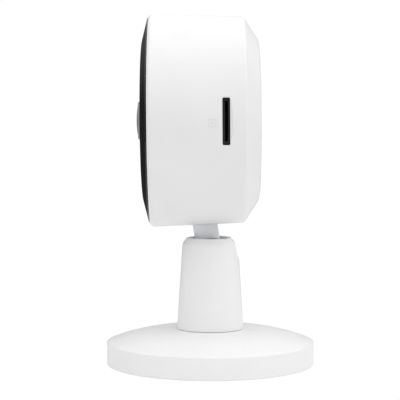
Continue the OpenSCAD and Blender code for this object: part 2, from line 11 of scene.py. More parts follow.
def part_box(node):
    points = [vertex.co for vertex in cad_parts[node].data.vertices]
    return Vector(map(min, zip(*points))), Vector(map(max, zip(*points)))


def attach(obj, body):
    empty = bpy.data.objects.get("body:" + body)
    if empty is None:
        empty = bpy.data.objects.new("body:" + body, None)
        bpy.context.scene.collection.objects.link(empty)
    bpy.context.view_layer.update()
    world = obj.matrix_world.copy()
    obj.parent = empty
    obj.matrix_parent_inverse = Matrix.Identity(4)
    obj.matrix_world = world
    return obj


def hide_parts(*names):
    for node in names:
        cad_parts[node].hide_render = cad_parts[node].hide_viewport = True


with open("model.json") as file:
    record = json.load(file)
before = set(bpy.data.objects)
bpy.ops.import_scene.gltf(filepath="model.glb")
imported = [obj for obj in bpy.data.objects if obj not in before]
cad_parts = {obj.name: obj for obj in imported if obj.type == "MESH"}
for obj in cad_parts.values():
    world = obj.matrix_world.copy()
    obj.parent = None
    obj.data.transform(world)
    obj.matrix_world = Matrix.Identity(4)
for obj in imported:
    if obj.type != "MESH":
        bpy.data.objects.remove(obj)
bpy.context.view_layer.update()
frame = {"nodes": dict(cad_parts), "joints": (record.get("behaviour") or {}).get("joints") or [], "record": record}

MM = 0.001
SLOT_OF = {s["node"]: s["material_slot"] for s in frame["record"]["subparts"]}
JOINTS = {j["name"]: j for j in frame["joints"]}


# ---------- places ----------

def centre_of(node):
    low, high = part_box(node)
    return (low + high) / 2


def head_matrix():
    """Millimetres on the head's own axis (+z towards the lens, +y up) to the row frame."""
    forward = Vector(JOINTS["reset_press"]["axis"]).normalized()
    ring = centre_of("lens_ring")
    depth = ring.y / forward.y
    centre = Vector((0, 0, ring.z - depth * forward.z))
    side = Vector((1, 0, 0))
    up = forward.cross(side)
    turn = Matrix((side, up, forward)).transposed().to_4x4()
    return Matrix.Translation(centre) @ turn @ Matrix.Scale(MM, 4)


NECK_LEAN = 10
PIVOT = Vector(JOINTS["neck_tilt"]["pos_m"])
WORLD = Matrix.Scale(MM, 4)
HEAD = head_matrix()
NECK = Matrix.Translation(PIVOT) @ Matrix.Rotation(math.radians(NECK_LEAN), 4, "X") @ WORLD


def head_local(node):
    """A CAD node's lowest and highest corner on the head's own axis, in millimetres."""
    inverse = HEAD.inverted()
    low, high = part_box(node)
    corners = [inverse @ Vector((x, y, z)) for x in (low.x, high.x) for y in (low.y, high.y)
               for z in (low.z, high.z)]
    return (Vector(min(c[i] for c in corners) for i in range(3)),
            Vector(max(c[i] for c in corners) for i in range(3)))


# ---------- outlines ----------

def corner_arc(before, corner, after, radius, steps=7):
    """Points of the arc that rounds a corner between its two neighbours."""
    a = (Vector(before) - Vector(corner)).normalized()
    b = (Vector(after) - Vector(corner)).normalized()
    half = a.angle(b) / 2
    centre = Vector(corner) + (a + b).normalized() * radius / math.sin(half)
    first = Vector(corner) + a * radius / math.tan(half) - centre
    last = Vector(corner) + b * radius / math.tan(half) - centre
    start = math.atan2(first.y, first.x)
    turn = (math.atan2(last.y, last.x) - start + 3 * math.pi) % (2 * math.pi) - math.pi
    angles = [start + turn * i / steps for i in range(steps + 1)]
    return [centre + radius * Vector((math.cos(t), math.sin(t))) for t in angles]


def rounded(corners):
    """A closed outline from corners given as (x, y, rounding radius)."""
    count = len(corners)
    points = []
    for i, (x, y, radius) in enumerate(corners):
        if radius > 0:
            points += corner_arc(corners[i - 1][:2], (x, y), corners[(i + 1) % count][:2], radius)
        else:
            points.append(Vector((x, y)))
    return points


def supported(outline, near=0.25, longest=3.0):
    """The same outline with points beside its corners and along its long stretches, for clean shading."""
    points = []
    for i, a in enumerate(outline):
        b = outline[(i + 1) % len(outline)]
        points.append(a)
        length = (b - a).length
        if length > 4 * near:
            inner = max(1, math.ceil((length - 2 * near) / longest))
            stops = [near + (length - 2 * near) * k / inner for k in range(inner + 1)]
            points += [a + (b - a) * s / length for s in stops]
    return points


def rounded_rect(width, height, radius, steps=8):
    """Points of a rounded rectangle, anticlockwise."""
    points = []
    for sx, sy, start in ((1, 1, 0), (-1, 1, 90), (-1, -1, 180), (1, -1, 270)):
        for i in range(steps + 1):
            t = math.radians(start + 90 * i / steps)
            points.append(Vector((sx * (width / 2 - radius) + radius * math.cos(t),
                                  sy * (height / 2 - radius) + radius * math.sin(t))))
    return points


# ---------- meshes ----------

def new_object(name, bm):
    """An object from a bmesh, still in millimetres on its own axis."""
    bmesh.ops.remove_doubles(bm, verts=bm.verts, dist=1e-5)
    bmesh.ops.delete(bm, geom=[v for v in bm.verts if not v.link_faces], context="VERTS")
    bmesh.ops.recalc_face_normals(bm, faces=bm.faces)
    mesh = bpy.data.meshes.new(name)
    bm.to_mesh(mesh)
    bm.free()
    obj = bpy.data.objects.new(name, mesh)
    bpy.context.scene.collection.objects.link(obj)
    return obj


def add_lathe(bm, outline, segments=192, centre=(0, 0)):
    """Revolves a closed (radius, height) outline about the z axis through centre."""
    rings = []
    for radius, height in outline:
        if radius < 1e-6:
            rings.append([bm.verts.new((centre[0], centre[1], height))])
            continue
        rings.append([
            bm.verts.new((centre[0] + radius * math.cos(2 * math.pi * k / segments),
                          centre[1] + radius * math.sin(2 * math.pi * k / segments), height))
            for k in range(segments)])
    for i, ring in enumerate(rings):
        following = rings[(i + 1) % len(rings)]
        for k in range(segments):
            corners = [ring[k % len(ring)], ring[(k + 1) % len(ring)],
                       following[(k + 1) % len(following)], following[k % len(following)]]
            corners = list(dict.fromkeys(corners))
            if len(corners) > 2:
                bm.faces.new(corners)
    return bm


def add_loft(bm, rings, closed_ends=True):
    """Skins a stack of rings, each the same number of 3-D points."""
    made = [[bm.verts.new(p) for p in ring] for ring in rings]
    count = len(made[0])
    for low, high in zip(made, made[1:]):
        for k in range(count):
            bm.faces.new((low[k], low[(k + 1) % count], high[(k + 1) % count], high[k]))
    if closed_ends:
        bm.faces.new(list(reversed(made[0])))
        bm.faces.new(made[-1])
    return bm


def surface_cutter(layers, place):
    """A cutter skinned through (outline, distance from the skin) layers, closed along its middle line."""
    ends = [([Vector((0, p.y)) for p in outline], out) for outline, out in (layers[0], layers[-1])]
    layers = [ends[0], *layers, ends[1]]
    rings = [[place(p, out) for p in outline] for outline, out in layers]
    return new_object("cutter", add_loft(bmesh.new(), rings, closed_ends=False))


def lathed(name, outline, segments=192):
    """An object turned about the z axis."""
    return new_object(name, add_lathe(bmesh.new(), outline, segments))


FEWEST_POINTS = 50


def cut(obj, *cutters):
    """Takes the cutters out of obj and deletes them."""
    for cutter in cutters:
        modifier = obj.modifiers.new("cut", "BOOLEAN")
        modifier.solver = "EXACT"
        modifier.operation = "DIFFERENCE"
        modifier.object = cutter
        bpy.context.view_layer.update()
        evaluated = obj.evaluated_get(bpy.context.evaluated_depsgraph_get())
        mesh = bpy.data.meshes.new_from_object(evaluated)
        obj.modifiers.clear()
        obj.data = mesh
        bpy.data.objects.remove(cutter)
    if len(obj.data.vertices) < FEWEST_POINTS:
        raise ValueError(f"cutting left nothing of {obj.name}")


def shade(obj, angle=34):
    """Smooth shading with edges sharper than the angle kept crisp."""
    obj.data.shade_smooth()
    obj.data.set_sharp_from_angle(angle=math.radians(angle))


def finished(obj, matrix, body, material, replaces=()):
    """Puts a piece in the row frame with its material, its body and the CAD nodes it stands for."""
    obj.data.transform(matrix)
    shade(obj)
    obj.data.materials.clear()
    obj.data.materials.append(material)
    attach(obj, body)
    if replaces:
        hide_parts(*replaces)


# ---------- materials ----------

class Surface:
    """A node material built round one Principled shader, with coordinates in real size."""

    def __init__(self, name, color, roughness, metallic=0.0, ior=1.5, coat=0.0, coat_roughness=0.03,
                 transmission=0.0, sheen=0.0):
        self.material = bpy.data.materials.new(name)
        self.material.use_nodes = True
        self.nodes = self.material.node_tree.nodes
        self.links = self.material.node_tree.links
        self.shader = self.nodes["Principled BSDF"]
        self.color = color
        self.place = self.nodes.new("ShaderNodeTexCoord").outputs["Object"]
        for socket, value in (("Base Color", (*color, 1)), ("Roughness", roughness), ("Metallic", metallic),
                              ("IOR", ior), ("Coat Weight", coat), ("Coat Roughness", coat_roughness),
                              ("Transmission Weight", transmission), ("Sheen Weight", sheen)):
            self.shader.inputs[socket].default_value = value
        self.tint = None
        self.normal = None

    def noise(self, size_mm, detail=2.0, roughness=0.5, stretch=None):
        """A noise whose features are about size_mm across, stretched per axis if asked."""
        node = self.nodes.new("ShaderNodeTexNoise")
        node.inputs["Scale"].default_value = 1 / (size_mm * MM)
        node.inputs["Detail"].default_value = detail
        node.inputs["Roughness"].default_value = roughness
        place = self.place
        if stretch:
            mapping = self.nodes.new("ShaderNodeMapping")
            mapping.inputs["Scale"].default_value = stretch
            self.links.new(place, mapping.inputs["Vector"])
            place = mapping.outputs["Vector"]
        self.links.new(place, node.inputs["Vector"])
        return node.outputs["Fac"]

    def between(self, value, low, high, to_low, to_high):
        """A value from one range brought to another, held at its ends."""
        node = self.nodes.new("ShaderNodeMapRange")
        numbers = {"From Min": low, "From Max": high, "To Min": to_low, "To Max": to_high}
        for socket, number in numbers.items():
            node.inputs[socket].default_value = number
        self.links.new(value, node.inputs["Value"])
        return node.outputs["Result"]

    def mix(self, factor, other, base=None):
        """Mixes the colour so far towards another by a factor and makes it the base colour."""
        node = self.nodes.new("ShaderNodeMix")
        node.data_type = "RGBA"
        self.links.new(factor, node.inputs["Factor"])
        if base is not None or self.tint is None:
            node.inputs["A"].default_value = (*(base or self.color), 1)
        else:
            self.links.new(self.tint, node.inputs["A"])
        node.inputs["B"].default_value = (*other, 1)
        self.tint = node.outputs["Result"]
        self.links.new(self.tint, self.shader.inputs["Base Color"])

    def mottled(self, size_mm, amount):
        """Uneven colour, lighter and darker by the amount."""
        low = tuple(max(c * (1 - amount), 0) for c in self.color)
        high = tuple(min(c * (1 + amount), 1) for c in self.color)
        self.mix(self.between(self.noise(size_mm), 0.3, 0.7, 0, 1), high, low)

    def worn(self, color, amount):
        """Edges rubbed towards a colour."""
        edge = self.nodes.new("ShaderNodeNewGeometry").outputs["Pointiness"]
        self.mix(self.between(edge, 0.52, 0.62, 0, amount), color)

    def uneven_gloss(self, low, high, size_mm, detail=3.0, stretch=None):
        """Roughness that wanders between two values."""
        value = self.between(self.noise(size_mm, detail, stretch=stretch), 0.3, 0.7, low, high)
        self.links.new(value, self.shader.inputs["Roughness"])

    def bumped(self, height, depth_mm):
        """Relief of a height pattern, on top of any relief so far."""
        node = self.nodes.new("ShaderNodeBump")
        node.inputs["Distance"].default_value = depth_mm * MM
        node.inputs["Strength"].default_value = 1.0
        self.links.new(height, node.inputs["Height"])
        if self.normal is not None:
            self.links.new(self.normal, node.inputs["Normal"])
        self.normal = node.outputs["Normal"]
        self.links.new(self.normal, self.shader.inputs["Normal"])

    def grained(self, size_mm, depth_mm, stretch=None):
        """Relief of a fine even grain."""
        self.bumped(self.noise(size_mm, 3.0, stretch=stretch), depth_mm)


def moulded(name, color, roughness, grain_mm=0.35, depth_mm=0.004, wear=0.25, mottle=0.012):
    """Satin moulded plastic: fine spark-eroded grain, faint flow marks and rubbed edges."""
    surface = Surface(name, color, roughness)
    surface.mottled(14, mottle)
    surface.worn(tuple(min(c * 1.12 + 0.02, 1) for c in color), wear)
    surface.uneven_gloss(roughness - 0.05, roughness + 0.06, 5)
    surface.grained(grain_mm, depth_mm)
    surface.bumped(surface.noise(9), 0.01)
    return surface.material


def polished_black(name, color=(0.006, 0.006, 0.007)):
    """Polished black acrylic: faint orange peel, handling smudges and specks of dust."""
    surface = Surface(name, color, 0.06, ior=1.49)
    surface.mottled(10, 0.15)
    surface.worn((0.03, 0.03, 0.032), 0.3)
    smudge = surface.between(surface.noise(7, 6.0, 0.6), 0.42, 0.75, 0.035, 0.14)
    surface.links.new(smudge, surface.shader.inputs["Roughness"])
    surface.bumped(surface.noise(2.6), 0.0012)
    dust = surface.between(surface.noise(0.35, 1.0), 0.74, 0.8, 0, 0.35)
    surface.mix(dust, (0.16, 0.16, 0.16))
    return surface.material


def coated_glass(name, tint, coat_tint=(0.45, 0.3, 0.9)):
    """Lens glass with a faint coloured coating and fine wipe marks."""
    surface = Surface(name, tint, 0.0, ior=1.46, transmission=1.0, coat=0.35, coat_roughness=0.02)
    surface.shader.inputs["Coat Tint"].default_value = (*coat_tint, 1)
    surface.mottled(4, 0.04)
    surface.uneven_gloss(0.0, 0.03, 1.5)
    surface.grained(0.6, 0.0003, stretch=(1, 6, 1))
    return surface.material


def metal(name, color, roughness, stretch=(1, 1, 14), grain_mm=0.8):
    """Rolled or plated metal with drawn lines, uneven sheen and brighter edges."""
    surface = Surface(name, color, roughness, metallic=1.0)
    surface.mottled(3, 0.06)
    surface.worn(tuple(min(c * 1.2, 1) for c in color), 0.5)
    surface.uneven_gloss(roughness - 0.08, roughness + 0.1, 0.9, stretch=stretch)
    surface.grained(grain_mm, 0.0015, stretch=stretch)
    return surface.material


def cast_metal(name, color):
    """Painted cast iron: dull, rough and blotchy."""
    surface = Surface(name, color, 0.6, metallic=0.8)
    surface.mottled(5, 0.2)
    surface.worn((0.4, 0.4, 0.4), 0.4)
    surface.uneven_gloss(0.5, 0.75, 1.5)
    surface.grained(0.7, 0.05)
    return surface.material


def rubbery(name, color):
    """Rubber: dull and finely grained, paler at its edges."""
    surface = Surface(name, color, 0.75, ior=1.45, sheen=0.15)
    surface.mottled(6, 0.12)
    surface.worn(tuple(c * 1.6 + 0.01 for c in color), 0.4)
    surface.uneven_gloss(0.66, 0.86, 1.2)
    surface.grained(0.3, 0.012)
    return surface.material


def circuit(name, color):
    """Solder resist over copper: tracks show as a faint raised pattern, with pale pads."""
    surface = Surface(name, color, 0.35, coat=0.4)
    cells = surface.nodes.new("ShaderNodeTexVoronoi")
    cells.distance = "MANHATTAN"
    cells.inputs["Scale"].default_value = 1 / (1.4 * MM)
    cells.inputs["Randomness"].default_value = 0.6
    surface.links.new(surface.place, cells.inputs["Vector"])
    tracks = surface.between(cells.outputs["Distance"], 0.42, 0.5, 0, 1)
    surface.mottled(4, 0.15)
    surface.mix(tracks, tuple(min(c * 1.8 + 0.01, 1) for c in color))
    pads = surface.between(cells.outputs["Distance"], 0.1, 0.06, 0, 0.8)
    surface.mix(pads, (0.62, 0.6, 0.52))
    surface.uneven_gloss(0.25, 0.42, 3)
    surface.bumped(tracks, 0.03)
    return surface.material


def film(name, color):
    """Glossy amber film, drawn out along one way."""
    surface = Surface(name, color, 0.3, coat=0.5)
    surface.mottled(2, 0.12)
    surface.uneven_gloss(0.22, 0.4, 2)
    surface.grained(0.5, 0.004, stretch=(6, 1, 1))
    return surface.material


MATERIALS = {
    "white_plastic": moulded("white_plastic", (0.80, 0.80, 0.805), 0.42),
    "icon_plastic": moulded("icon_plastic", (0.74, 0.74, 0.745), 0.5),
    # The base's white plastic, a shade darker than white_plastic: painted shade for the dimmer light that falls on
    # the base.
    "base_plastic_painted_shade": moulded("base_plastic_painted_shade", (0.765, 0.765, 0.77), 0.42),
    "plate_plastic": moulded("plate_plastic", (0.62, 0.62, 0.63), 0.55, 0.5, 0.012),
    "black_gloss": polished_black("black_gloss"),
    "black_matte": moulded("black_matte", (0.042, 0.042, 0.044), 0.5, 0.3, 0.008, wear=0.5, mottle=0.08),
    "socket_black": moulded("socket_black", (0.024, 0.024, 0.025), 0.6, 0.3, 0.008, wear=0.2, mottle=0.08),
    "satin_ring": moulded("satin_ring", (0.33, 0.33, 0.335), 0.38, 0.3, 0.002, wear=0.3, mottle=0.03),
    "lens_glass": coated_glass("lens_glass", (0.97, 0.97, 1.0)),
    "filter_glass": coated_glass("filter_glass", (0.7, 0.35, 0.4), (0.9, 0.25, 0.3)),
    "sensor_package": moulded("sensor_package", (0.05, 0.05, 0.08), 0.25, 0.3, 0.001, wear=0.4, mottle=0.2),
    "circuit_board": circuit("circuit_board", (0.012, 0.07, 0.04)),
    "chip_package": moulded("chip_package", (0.02, 0.02, 0.021), 0.55, 0.2, 0.008, wear=0.4, mottle=0.1),
    "lamp_package": moulded("lamp_package", (0.7, 0.7, 0.6), 0.2, 0.6, 0.001, wear=0.2, mottle=0.05),
    "light_pipe": moulded("light_pipe", (0.55, 0.62, 0.58), 0.18, 0.6, 0.001, wear=0.2, mottle=0.05),
    "film": film("film", (0.42, 0.17, 0.02)),
    "black_rubber": rubbery("black_rubber", (0.03, 0.03, 0.032)),
    "thermal_rubber": rubbery("thermal_rubber", (0.2, 0.28, 0.38)),
    "aluminium": metal("aluminium", (0.78, 0.79, 0.8), 0.35),
    "plated_steel": metal("plated_steel", (0.7, 0.7, 0.68), 0.28),
    "screw_steel": metal("screw_steel", (0.6, 0.61, 0.63), 0.32, stretch=(1, 1, 1), grain_mm=0.3),
    "cast_ballast": cast_metal("cast_ballast", (0.09, 0.09, 0.095)),
    "grey_plastic": moulded("grey_plastic", (0.80, 0.81, 0.835), 0.45, 0.35, 0.004),
}


# ---------- head: housing ----------

HOUSING_REAR = 14.3
HOUSING_RIM = 17.95
HOUSING_BORE_R = 30.5
WALL = 1.7
INNER_FACE = HOUSING_REAR - WALL
CHAMFER_EDGE = (30.6, -9.9)
FRONT_EDGE = (31.65, 17.3)
REAR_FACE_R = 23.8
CARD_SLOT = (2.15, 13.2)
CARD_SLOT_BACK = 4.2
CARD_ICON = (0.35, -0.7)
SPEAKER = (0, 8)
SPEAKER_HOLE_R = 0.55
SPEAKER_PITCH = 2.3
USB = (0, -17)
BUTTON = (-10, -16.5)
BUTTON_HOLE_R = 1.75


def housing_radius(z):
    """Outer radius of the housing's drafted side at a depth."""
    share = (z - CHAMFER_EDGE[1]) / (FRONT_EDGE[1] - CHAMFER_EDGE[1])
    return CHAMFER_EDGE[0] + share * (FRONT_EDGE[0] - CHAMFER_EDGE[0])


def on_housing(back, up, out):
    """A point on the head's +X side: back and up from its centre, and out from the skin."""
    return Vector((math.sqrt((housing_radius(-back) + out) ** 2 - up ** 2), up, -back))


# Distance out from the skin, and how much wider the opening is there.
LIP = ((-2.9, 0.0), (-0.26, 0.0), (-0.15, 0.02), (-0.07, 0.07), (-0.02, 0.14), (0.02, 0.24), (2.2, 2.6))


def card_slot_cutter():
    """The memory card slot with its softly rounded lip."""
    low, high = head_local("card_socket")
    middle_up = (low.y + high.y) / 2
    width, length = CARD_SLOT
    layers = [(rounded_rect(width + 2 * wider, length + 2 * wider, 0.45 + wider), out) for out, wider in LIP]
    return surface_cutter(layers, lambda p, out: on_housing(CARD_SLOT_BACK + p.x, middle_up + p.y, out))


def hole_outline(radius, face, edge=0.18, depth=3.0):
    """A blind drill's outline that enters a face pointing to -z, with a rounded mouth."""
    mouth = [(radius + edge * (1 - math.cos(t)), face + edge * (1 - math.sin(t)))
             for t in (0, math.pi / 8, math.pi / 4, 3 * math.pi / 8, math.pi / 2)]
    return [(0, face + depth), (radius, face + depth), *mouth, (radius + edge, face - 0.5), (0, face - 0.5)]


def rear_hole_cutter():
    """Speaker holes and the reset button's hole, in the rear face."""
    bm = bmesh.new()
    places = [SPEAKER]
    for row in (1, 2, 3):
        reach = row * SPEAKER_PITCH
        for i in range(6 * row):
            t = math.radians(i * 60 / row)
            places.append((SPEAKER[0] + reach * math.cos(t), SPEAKER[1] + reach * math.sin(t)))
    for place in places:
        add_lathe(bm, hole_outline(SPEAKER_HOLE_R, -HOUSING_REAR), 20, place)
    add_lathe(bm, hole_outline(BUTTON_HOLE_R, -HOUSING_REAR), 48, BUTTON)
    return new_object("cutter", bm)


def usb_cutter():
    """The inlet's opening in the rear face, with a rounded lip."""
    rings = []
    for depth, wider in ((-0.5, 0.5), (0, 0.26), (0.03, 0.14), (0.09, 0.06), (0.2, 0.0), (3, 0.0)):
        outline = rounded_rect(8.4 + 2 * wider, 3.3 + 2 * wider, 0.8 + wider)
        rings.append([Vector((USB[0] + p.x, USB[1] + p.y, depth - HOUSING_REAR)) for p in outline])
    return new_object("cutter", add_loft(bmesh.new(), rings))


def neck_socket_cutter():
    """The socket for the neck under the head."""
    to_head = HEAD.inverted() @ NECK
    rings = [[to_head @ Vector((p.x, p.y, z)) for p in rounded_rect(6.5, 7.55, 2.5)] for z in (5, 14)]
    return new_object("cutter", add_loft(bmesh.new(), rings))


def make_housing():
    """The white shell: a drafted drum with a chamfered back and a thin lip round the panel."""
    outline = supported(rounded([
        (0, -HOUSING_REAR, 0),
        (REAR_FACE_R, -HOUSING_REAR, 3),
        (*CHAMFER_EDGE, 1),
        (*FRONT_EDGE, 1.1),
        (HOUSING_BORE_R + 0.4, HOUSING_RIM, 0.25),
        (HOUSING_BORE_R, HOUSING_RIM, 0.08),
        (HOUSING_BORE_R, 15.6, 0),
        (29.9, 15.6, 0),
        (28.9, -9.8, 0),
        (22.8, -INNER_FACE, 0),
        (0, -INNER_FACE, 0),
    ]))
    housing = lathed("housing", outline, 256)
    cut(housing, card_slot_cutter(), rear_hole_cutter(), usb_cutter(), neck_socket_cutter())
    finished(housing, HEAD, "head", MATERIALS["white_plastic"], ["rear_housing"])


def side_ridge(bm, outline, back, up, line, rise):
    """A thin raised line along a closed outline on the side of the head."""
    widest = max(abs(p.x) for p in outline)
    profile = ((0, -0.1), (0, rise * 0.6), (0.2, rise), (0.8, rise), (1, rise * 0.6), (1, -0.1))
    rings = []
    for across, out in profile:
        scale = 1 - across * line / widest
        rings.append([on_housing(back + p.x * scale, up + p.y * scale, out) for p in outline])
    add_loft(bm, rings, closed_ends=False)


def make_card_icon():
    """The small raised card symbol in front of the slot."""
    bm = bmesh.new()
    back, up = CARD_ICON
    side_ridge(bm, rounded_rect(2.2, 2.4, 0.4), back, up, 0.26, 0.09)
    card = [Vector(p) for p in ((-0.42, -0.52), (0.3, -0.52), (0.42, -0.38), (0.42, 0.52), (-0.42, 0.52))]
    rings = [[on_housing(back + p.x * k, up + p.y * k, out) for p in card]
             for k, out in ((1.0, -0.1), (1.0, 0.05), (0.8, 0.09))]
    add_loft(bm, rings)
    icon = new_object("card_icon", bm)
    finished(icon, HEAD, "head", MATERIALS["icon_plastic"])


# ---------- head: front ----------

PANEL_DEPTH = 20.45
PANEL_EDGE = 18.4
PANEL_BACK = 18.65
PANEL_R = 30.35
PANEL_SEAT = 16.8
RING_R = 5.7
WINDOW_R = 5.1
WINDOW_DOME_R = 30
THROAT_R = 3.5
STATUS = (0, -15.5)
MIC = (0, -21.2)


def face_hole_cutter():
    """The status light's and the microphone's holes, entering the panel from the front."""
    bm = bmesh.new()
    for place, radius in ((STATUS, 0.8), (MIC, 0.5)):
        outline = [(r, -z) for r, z in hole_outline(radius, -PANEL_DEPTH + 0.02, 0.12)]
        add_lathe(bm, outline, 32, place)
    return new_object("cutter", bm)


def make_panel():
    """The glossy front: a slightly crowned face, a wide bevel and an upright edge."""
    outline = supported(rounded([
        (RING_R + 0.05, PANEL_DEPTH, 0.15),
        (23.4, PANEL_DEPTH - 0.3, 8),
        (PANEL_R, PANEL_EDGE, 0.2),
        (PANEL_R, PANEL_SEAT, 0),
        (PANEL_R - 1.6, PANEL_SEAT, 0),
        (23.9, PANEL_BACK, 0),
        (RING_R + 0.05, PANEL_BACK, 0),
    ]))
    panel = lathed("panel", outline, 256)
    cut(panel, face_hole_cutter())
    finished(panel, HEAD, "head", MATERIALS["black_gloss"], ["front_panel"])


def make_lens_ring():
    """The raised ring with its stepped throat down to the window."""
    face = head_local("lens_ring")[1].z
    outline = supported(rounded([
        (THROAT_R, PANEL_BACK - 0.8, 0),
        (RING_R + 1.1, PANEL_BACK - 0.8, 0),
        (RING_R + 1.1, PANEL_BACK, 0),
        (RING_R, PANEL_BACK, 0),
        (RING_R, face, 0.5),
        (WINDOW_R + 0.05, face, 0.05),
        (WINDOW_R, face - 1.1, 0),
        (THROAT_R, face - 1.1, 0),
    ]), near=0.06)
    ring = lathed("lens_ring_turned", outline, 128)
    finished(ring, HEAD, "head", MATERIALS["satin_ring"], ["lens_ring"])


def make_lens_window():
    """The clear window, domed outwards."""
    low, high = head_local("lens_window")
    edge = WINDOW_R - 0.06
    crown = [Vector((r, high.z - WINDOW_DOME_R + math.sqrt(WINDOW_DOME_R ** 2 - r ** 2)))
             for r in [edge * (1 - i / 12) for i in range(13)]]
    outline = [Vector((0, low.z)), Vector((edge - 0.1, low.z)), Vector((edge, low.z + 0.1)),
               crown[0] - Vector((0, 0.08)), crown[0] - Vector((0.06, 0.01)), *crown[1:]]
    window = lathed("window_glass", outline, 96)
    finished(window, HEAD, "head", MATERIALS["lens_glass"], ["lens_window"])


def make_lens_barrel():
    """The barrel with its baffle rings and retaining ring."""
    low, high = head_local("lens_barrel")
    top = high.z
    baffles = []
    for i in range(4):
        z = top - 0.35 - 0.2 * i
        r = 2.75 - 0.2 * i
        baffles += [(r, z), (r - 0.14, z), (r - 0.16, z - 0.12)]
    outline = [(1.7, low.z), (5.9, low.z), (5.9, 14.6), (3.3, 15.8), (3.3, top - 0.1), (3.2, top),
               (2.85, top), *baffles, (1.7, top - 1.3)]
    barrel = lathed("barrel", [Vector(p) for p in outline], 96)
    finished(barrel, HEAD, "head", MATERIALS["black_matte"], ["lens_barrel"])


def make_lens_element():
    """The front lens, a domed glass."""
    low, high = head_local("lens_element")
    sphere = 3.4
    dome = [(sphere * math.sin(t), high.z - sphere + sphere * math.cos(t))
            for t in [math.radians(38 * i / 12) for i in range(13)]]
    outline = [Vector(p) for p in (*dome, (dome[-1][0], low.z), (0, low.z - 0.15))]
    lens = lathed("front_lens", outline, 96)
    finished(lens, HEAD, "head", MATERIALS["lens_glass"], ["lens_element"])


# ---------- head: back ----------

def make_reset_button():
    """The button with a dished top and a soft edge."""
    low, high = head_local("reset_button")
    face = low.z
    outline = supported(rounded([
        (0, face + 0.14, 0),
        (0.8, face + 0.05, 0.6),
        (1.3, face, 0.15),
        (1.6, face + 0.05, 0.2),
        (1.6, 0.05 - INNER_FACE, 0),
        (2.4, 0.05 - INNER_FACE, 0.1),
        (2.4, 0.85 - INNER_FACE, 0.1),
        (1.6, 0.85 - INNER_FACE, 0),
        (1.6, high.z, 0.1),
        (0, high.z, 0),
    ]), near=0.08)
    button = new_object("button_cap", add_lathe(bmesh.new(), outline, 64, BUTTON))
    finished(button, HEAD, "button", MATERIALS["grey_plastic"], ["reset_button"])


def make_usb_port():
    """The inlet's folded steel shell with its tongue and plated contacts."""
    low, high = head_local("usb_port")
    steel = MATERIALS["plated_steel"]

    def ring(outline, z, x=0.0, y=0.0):
        return [Vector((USB[0] + x + p.x, USB[1] + y + p.y, z)) for p in outline]

    wall = ((0.35, high.z - 1.0), (0.35, low.z + 0.05), (0.28, low.z), (0.07, low.z), (0.0, low.z + 0.05),
            (0.0, high.z))
    shell = add_loft(bmesh.new(), [
        ring(rounded_rect(7.8 - 2 * inset, 2.9 - 2 * inset, 0.9 - inset), z) for inset, z in wall])
    finished(new_object("usb_shell", shell), HEAD, "head", steel, ["usb_port"])
    steps = ((-0.12, low.z + 1.2), (0, low.z + 1.4), (0, high.z - 0.9))
    tongue = add_loft(bmesh.new(), [
        ring(rounded_rect(4.6 + 2 * wider, 0.7 + 2 * wider, 0.2), z) for wider, z in steps])
    finished(new_object("usb_tongue", tongue), HEAD, "head", MATERIALS["black_matte"])
    contacts = bmesh.new()
    blade = rounded_rect(0.26, 0.06, 0.02, 2)
    for side in (-1, 1):
        for i in range(8):
            place = ((i - 3.5) * 0.5, side * 0.35)
            add_loft(contacts, [ring(blade, z, *place) for z in (low.z + 1.6, high.z - 1.2)])
    finished(new_object("usb_contacts", contacts), HEAD, "head", steel)


# ---------- neck ----------

def make_neck():
    """A rounded bar that steps down to the hinge's round tongue."""
    sections = []  # width, depth, corner rounding, height above the hinge
    knuckle, half = 3.6, 2.45
    for i in range(13):
        t = math.radians(-90 + 90 * i / 12)
        depth = max(knuckle * math.cos(t), 0.02)
        sections.append((2 * half, 2 * depth, 0.12 if depth > 0.2 else 0.009, knuckle * math.sin(t)))
    sections += [
        (2 * half, 7.2, 0.2, 2.5),
        (2 * half, 7.2, 0.4, 4.3),
        (2 * half + 0.1, 7.2, 0.8, 4.6),
        (5.9, 7.25, 1.6, 4.8),
        (6.2, 7.32, 2.2, 5.0),
        (6.3, 7.35, 2.4, 5.3),
        (6.3, 7.35, 2.4, 5.6),
        (6.3, 7.35, 2.4, 8.5),
        (6.3, 7.35, 2.4, 12.3),
    ]
    rings = [[Vector((p.x, p.y, z)) for p in rounded_rect(w, d, r, 10)] for w, d, r, z in sections]
    neck = new_object("neck_bar", add_loft(bmesh.new(), rings))
    finished(neck, NECK, "head", MATERIALS["grey_plastic"], ["neck"])


# ---------- stem ----------

STEM_SIDE = ((10.0, 10.78), (8.35, 36.15), (7.0, 38.0))
MOUTH_R = 6.1


def stem_radius(z):
    """Outer radius of the stem at a height, without its small roundings."""
    (foot_r, foot_z), (shoulder_r, shoulder_z), (rim_r, rim_z) = STEM_SIDE
    if z < shoulder_z:
        return foot_r + (shoulder_r - foot_r) * (z - foot_z) / (shoulder_z - foot_z)
    return shoulder_r + (rim_r - shoulder_r) * min(z - shoulder_z, rim_z - shoulder_z) / (rim_z - shoulder_z)


def fold_slot_cutter():
    """The rear slot that the neck folds into, with its rounded lip."""
    half, centre, depth, top = 3.5, 36.0, 4.7, 39.2
    layers = []
    for out, wider in LIP:
        outline = [Vector(((half + wider) * math.cos(t), centre + (depth + wider) * math.sin(t)))
                   for t in [math.radians(180 + 180 * i / 28) for i in range(29)]]
        outline += [Vector((half + wider, centre + (top - centre) * k / 6)) for k in range(1, 7)]
        outline += [Vector((-half - wider, top - (top - centre) * k / 6)) for k in range(6)]
        layers.append((outline, out))
    return surface_cutter(
        layers, lambda p, out: Vector((p.x, math.sqrt((stem_radius(p.y) + out) ** 2 - p.x ** 2), p.y)))


